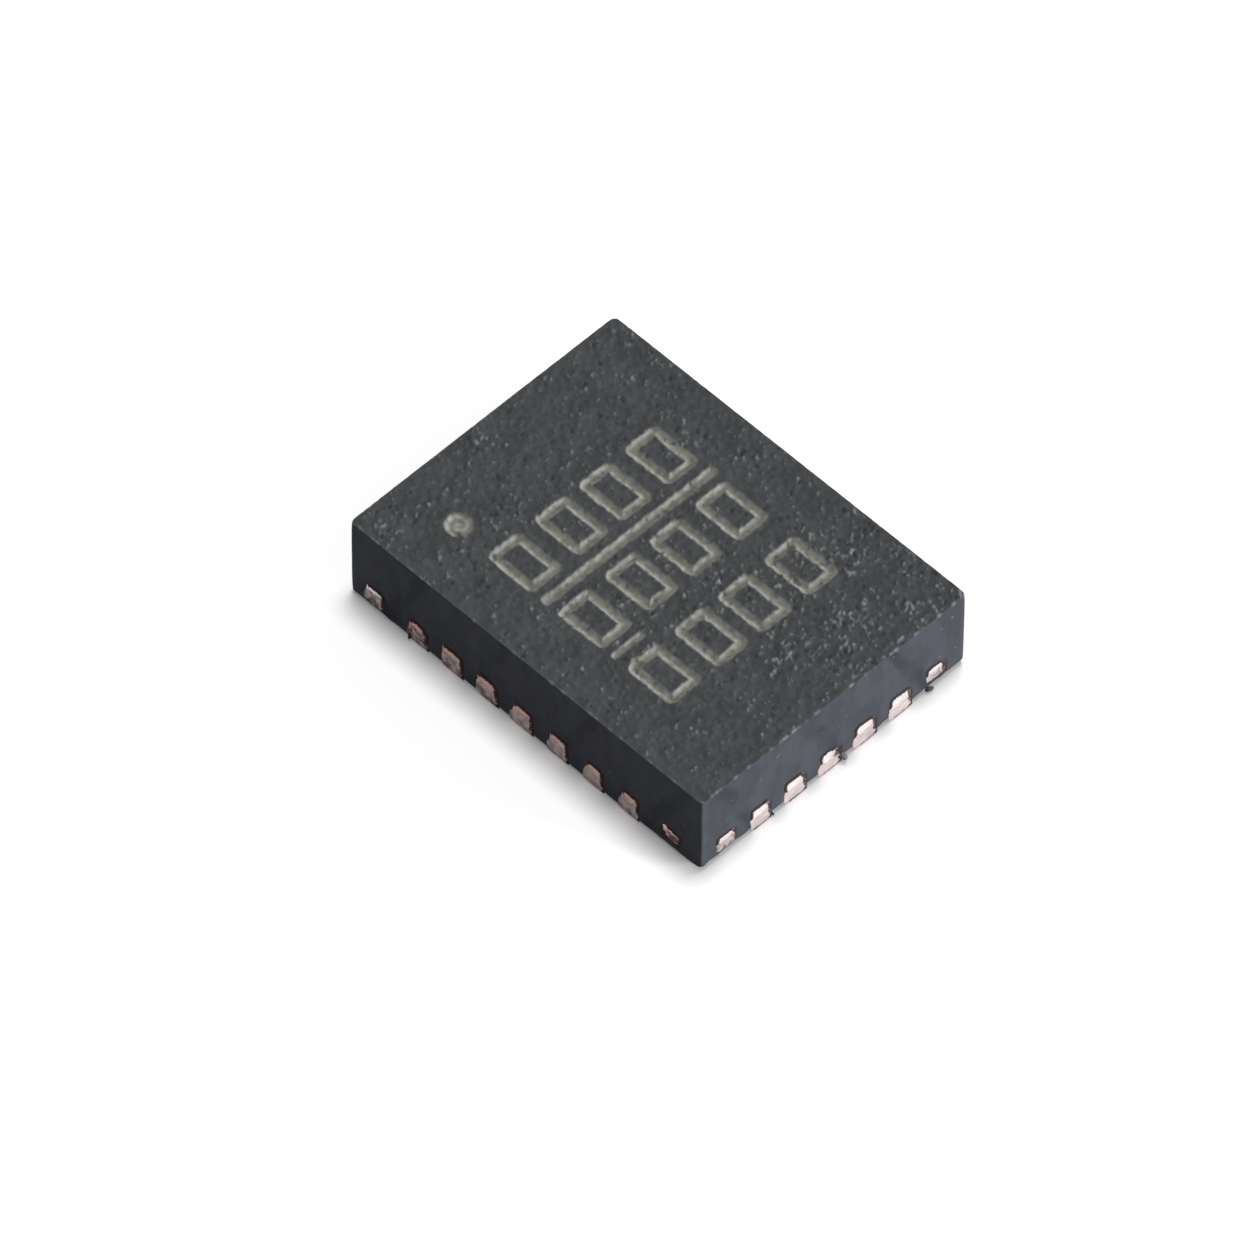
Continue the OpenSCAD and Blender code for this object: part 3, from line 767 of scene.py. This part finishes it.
def sawn_end(name, rng, place, smear, look, material):
    """Smeared skin of copper over one sawn end, with a dark rim of painted shadow along its top, raised,
    and its right side.

    The place is a side, a middle and half width along it, a low and a top. The look is the raggedness,
    darkening, warmth, rounds of smoothing and brown spot. The upper part gets a painted highlight, and the
    darkening grows towards the foot as painted shade.
    """
    side, middle, half, low, top = place
    ragged, tarnish_and_shade, warmth, smooth, spot = look
    outline = end_outline(rng, half, low, top, smear, ragged, smooth)
    centre = np.array([outline[:, 0].mean(), (low + top) / 2])
    facing = outline - centre
    facing /= np.hypot(*facing.T)[:, None]
    lean = RIM_LEAN[side]
    burred = np.clip((facing @ (lean, math.sqrt(1 - lean**2)) - RIM_FROM) / RIM_RISE, 0, 1)
    lip = END_FLAT + (END_LIP - END_FLAT) * burred
    # Painted rim shadow along the burred top and down the right side
    right = np.minimum(facing[:, 0] - RIGHT_FROM, facing[:, 1] - RIGHT_DOWN) / RIGHT_RISE
    edged = np.maximum(burred, RIGHT_SHARE * np.clip(right, 0, 1))
    flat, out, rim = [], [], []
    for ring, factor in enumerate(END_RINGS):
        rough = END_ROUGH * ragged * rng.standard_normal(END_POINTS)
        raised = END_FLAT + rough + (lip - END_FLAT) * max(0, 1 - abs(ring - LIP_RING) / LIP_FALL)
        flat.append(centre + (outline - centre) * factor)
        out.append(np.full(END_POINTS, -END_SINK) if ring == 0 else raised)
        rim.append(RING_RIM_SHADOW[ring] * edged)
    flat, out = np.vstack([*flat, centre]), np.append(np.concatenate(out), END_FLAT)
    made = piece(name, on_side(side, middle + flat[:, 0], flat[:, 1], out), end_faces(), material)

    share = (flat[:, 1] - low) / (top - low)
    across = np.clip((flat[:, 0] - centre[0]) / half, 0, 1)
    spotted = np.exp(-((flat[:, 0] - spot[0]) ** 2 + (flat[:, 1] - spot[1]) ** 2) / spot[2] ** 2)
    # Painted highlight on the upper part, fading to the right
    light = np.clip((share - HIGHLIGHT_FROM[side]) / HIGHLIGHT_RISE, 0, 1) * (1 - HIGHLIGHT_FADE * across)
    # Tarnish, made darker towards the foot as painted shade, and the brown spot
    tarnish_with_foot_shade = tarnish_and_shade * (FOOT_TARNISH_AND_SHADE - SHADE_FALL_TO_TOP * share) + SPOT_TARNISH * spotted
    point_attribute(made.data, "rim", np.append(np.concatenate(rim), 0))
    point_attribute(made.data, "light", light * (1 - np.minimum(spotted, 1)))
    point_attribute(made.data, "warm", np.full(len(flat), warmth))
    point_attribute(made.data, "cool", COOL_SHARE * np.clip(1 - share / COOL_BELOW, 0, 1))
    point_attribute(made.data, "tarnish_and_shade", tarnish_with_foot_shade)
    return made


def burr(name, rng, side, path, width, thick, pale, material):
    """Thin burr along a path of points (u, z, out), flattened and pinched at its free end."""
    path = np.array(path)
    t = np.linspace(0, 1, BURR_STEPS)
    knots = np.linspace(0, 1, len(path))
    line = np.column_stack([np.interp(t, knots, path[:, k]) for k in range(3)])
    for _ in range(BURR_SMOOTH):
        line[1:-1] = (line[:-2] + 2 * line[1:-1] + line[2:]) / 4
    along = np.gradient(line, axis=0)
    along /= np.linalg.norm(along, axis=1)[:, None]
    across = np.cross(along, BURR_UP)
    across /= np.linalg.norm(across, axis=1)[:, None]
    normal = np.cross(along, across)
    size = np.sqrt(1 - BURR_PINCH * t**4) * (1 + BURR_ROUGH * rng.standard_normal(BURR_STEPS))
    turn = np.linspace(0, 2 * math.pi, BURR_SIDES, endpoint=False)
    points = np.array([
        line[k] + size[k] * (width / 2 * math.cos(a) * across[k] + thick / 2 * math.sin(a) * normal[k])
        for k in range(BURR_STEPS) for a in turn
    ])
    points[:, 1] = np.maximum(points[:, 1], END_FLOOR)
    faces = []
    for k in range(BURR_STEPS - 1):
        for a in range(BURR_SIDES):
            p, q = k * BURR_SIDES + a, k * BURR_SIDES + (a + 1) % BURR_SIDES
            faces.append((p, q, q + BURR_SIDES, p + BURR_SIDES))
    faces.append(tuple(range(BURR_SIDES - 1, -1, -1)))
    faces.append(tuple((BURR_STEPS - 1) * BURR_SIDES + a for a in range(BURR_SIDES)))
    made = piece(name, on_side(side, points[:, 0], points[:, 1], points[:, 2]), faces, material)
    # Paleness painted on the burr as light, though it lies in shade
    point_attribute(made.data, "speck_and_painted_light", np.full(len(points), pale))
    return made


def white_rays(tree):
    """1 for rays that see the background, 0 for those that carry light to the object."""
    path = tree.nodes.new("ShaderNodeLightPath")
    total = path.outputs["Is Camera Ray"]
    for name in ("Is Glossy Ray", "Is Transmission Ray"):
        both = tree.nodes.new("ShaderNodeMath")
        both.operation = "MAXIMUM"
        tree.links.new(total, both.inputs[0])
        tree.links.new(path.outputs[name], both.inputs[1])
        total = both.outputs[0]
    return total


def floor_material():
    """Pale paint with a weak glow for rays that see the floor, and darker paint for the others."""
    material = bpy.data.materials.new("floor")
    material.use_nodes = True
    tree = material.node_tree
    tree.nodes.clear()
    kinds = ("OutputMaterial", "MixShader", "AddShader", "Emission", "BsdfDiffuse", "BsdfDiffuse")
    out, mix, both, glow, paint, bounce = (tree.nodes.new("ShaderNode" + kind) for kind in kinds)
    glow.inputs["Strength"].default_value = FLOOR_GLOW
    paint.inputs["Color"].default_value = [FLOOR_PAINT] * 3 + [1]
    bounce.inputs["Color"].default_value = [FLOOR_BOUNCE] * 3 + [1]
    join = tree.links.new
    join(glow.outputs[0], both.inputs[0])
    join(paint.outputs[0], both.inputs[1])
    join(white_rays(tree), mix.inputs[0])
    join(bounce.outputs[0], mix.inputs[1])
    join(both.outputs[0], mix.inputs[2])
    join(mix.outputs[0], out.inputs["Surface"])
    return material


def sky():
    """An even sky, white to rays that see it and weak to those that light the object."""
    world = bpy.data.worlds.new("sky")
    bpy.context.scene.world = world
    world.use_nodes = True
    tree = world.node_tree
    background = tree.nodes["Background"]
    background.inputs["Color"].default_value = (1, 1, 1, 1)
    level = tree.nodes.new("ShaderNodeMapRange")
    level.inputs["To Min"].default_value = SKY_LEVEL
    level.inputs["To Max"].default_value = 1.0
    tree.links.new(white_rays(tree), level.inputs["Value"])
    tree.links.new(level.outputs["Result"], background.inputs["Strength"])


def stage():
    """Floor, sky, lamps and camera."""
    half = FLOOR_SIZE / 2
    corners = [(-half, -half, 0), (half, -half, 0), (half, half, 0), (-half, half, 0)]
    piece("floor", corners, [(0, 1, 2, 3)], floor_material())
    sky()
    for name, (source, level, width) in LAMPS.items():
        lamp = link(name, bpy.data.lights.new(name, "SUN"))
        lamp.data.energy = level * math.pi
        lamp.data.angle = math.radians(width)
        bearing = math.atan2(source[0], -source[1])
        rise = math.atan2(source[2], math.hypot(*source[:2]))
        lamp.rotation_euler = (math.pi / 2 - rise, 0, bearing)

    camera = link("camera", bpy.data.cameras.new("camera"))
    camera.location = [value * MM for value in CAMERA_AT]
    camera.rotation_euler = [math.radians(value) for value in CAMERA_TURN]
    camera.data.lens, camera.data.sensor_width = CAMERA_LENS, SENSOR
    camera.data.clip_start, camera.data.clip_end = CAMERA_CLIP
    bpy.context.scene.camera = camera
    bpy.context.scene.view_settings.view_transform = "Standard"


def dress(name, material):
    """Puts a material on a CAD node that stays in view."""
    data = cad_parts[name].data
    data.materials.clear()
    data.materials.append(material)


def add(made):
    """Makes a piece ride on the body."""
    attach(made, "root")
    return made


def dress_frame_and_inside():
    """Materials of the lead frame, the die, its adhesive and the bond wires."""
    copper = copper_material()
    for name in LEADS + ["die_paddle"]:
        dress(name, copper)
    dress("die", inside_material("silicon"))
    dress("die_attach", inside_material("die_attach"))
    gold = inside_material("bond_wire")
    for name in WIRES:
        dress(name, gold)


def add_lead_ends(rng, material):
    """Smeared copper over the sawn end of each terminal."""
    for number, node in enumerate(LEADS, 1):
        low, high = (np.array(corner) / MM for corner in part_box(node))
        side, middle, half = side_of(low, high)
        ragged = LEAD_RAGGED.get(number, LEAD_RAGGED_REST)
        tarnish_and_shade = LEAD_DARKENING.get(number, SIDE_DARKENING[side] + rng.uniform(0.0, DARKENING_SPREAD))
        smear = (LEAD_DRAG, *LEAD_SMEAR.get(number, rng.uniform(0.0, LEAD_SMEAR_MOST, 3)))
        place = (side, middle, half, LEAD_FLOOR[side], high[2] + LEAD_OVER[side])
        look = (ragged, tarnish_and_shade, SIDE_WARMTH[side], LEAD_SMOOTH, LEAD_SPOT.get(number, NO_SPOT))
        add(sawn_end(f"lead_end_{number:02d}", rng, place, smear, look, material))


def add_tie_ends(rng, material):
    """Smeared copper over the sawn ends of the tie bars."""
    for number, (side, middle, half, low, high) in enumerate(tie_ends(), 1):
        ragged = TIE_RAGGED.get(number, TIE_RAGGED_REST)
        tarnish_and_shade = TIE_DARKENING.get(number, TIE_DARKENING_REST)
        warmth = TIE_WARMTH.get(number, TIE_WARMTH_REST)
        drag, under, over = TIE_REACH.get(number, TIE_REACH_REST)
        smear = (drag, *TIE_SMEAR.get(number, rng.uniform(0.0, TIE_SMEAR_MOST, 3)))
        place = (side, middle, half, low - under, high + over)
        look = (ragged, tarnish_and_shade, warmth, TIE_SMOOTH, NO_SPOT)
        add(sawn_end(f"tie_end_{number}", rng, place, smear, look, material))


def build():
    """The moulding, the finish of the CAD pieces, the sawn copper ends and the burrs."""
    compound = mould_material()
    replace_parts(add(mould(compound)), "mold_body")
    dress_frame_and_inside()
    rng = np.random.default_rng(END_SEED)
    smeared = smear_material()
    add_lead_ends(rng, smeared)
    add_tie_ends(rng, smeared)
    for name, (side, width, thick, pale, path) in BURRS.items():
        add(burr(name, rng, side, path, width, thick, pale, compound))


stage()
build()
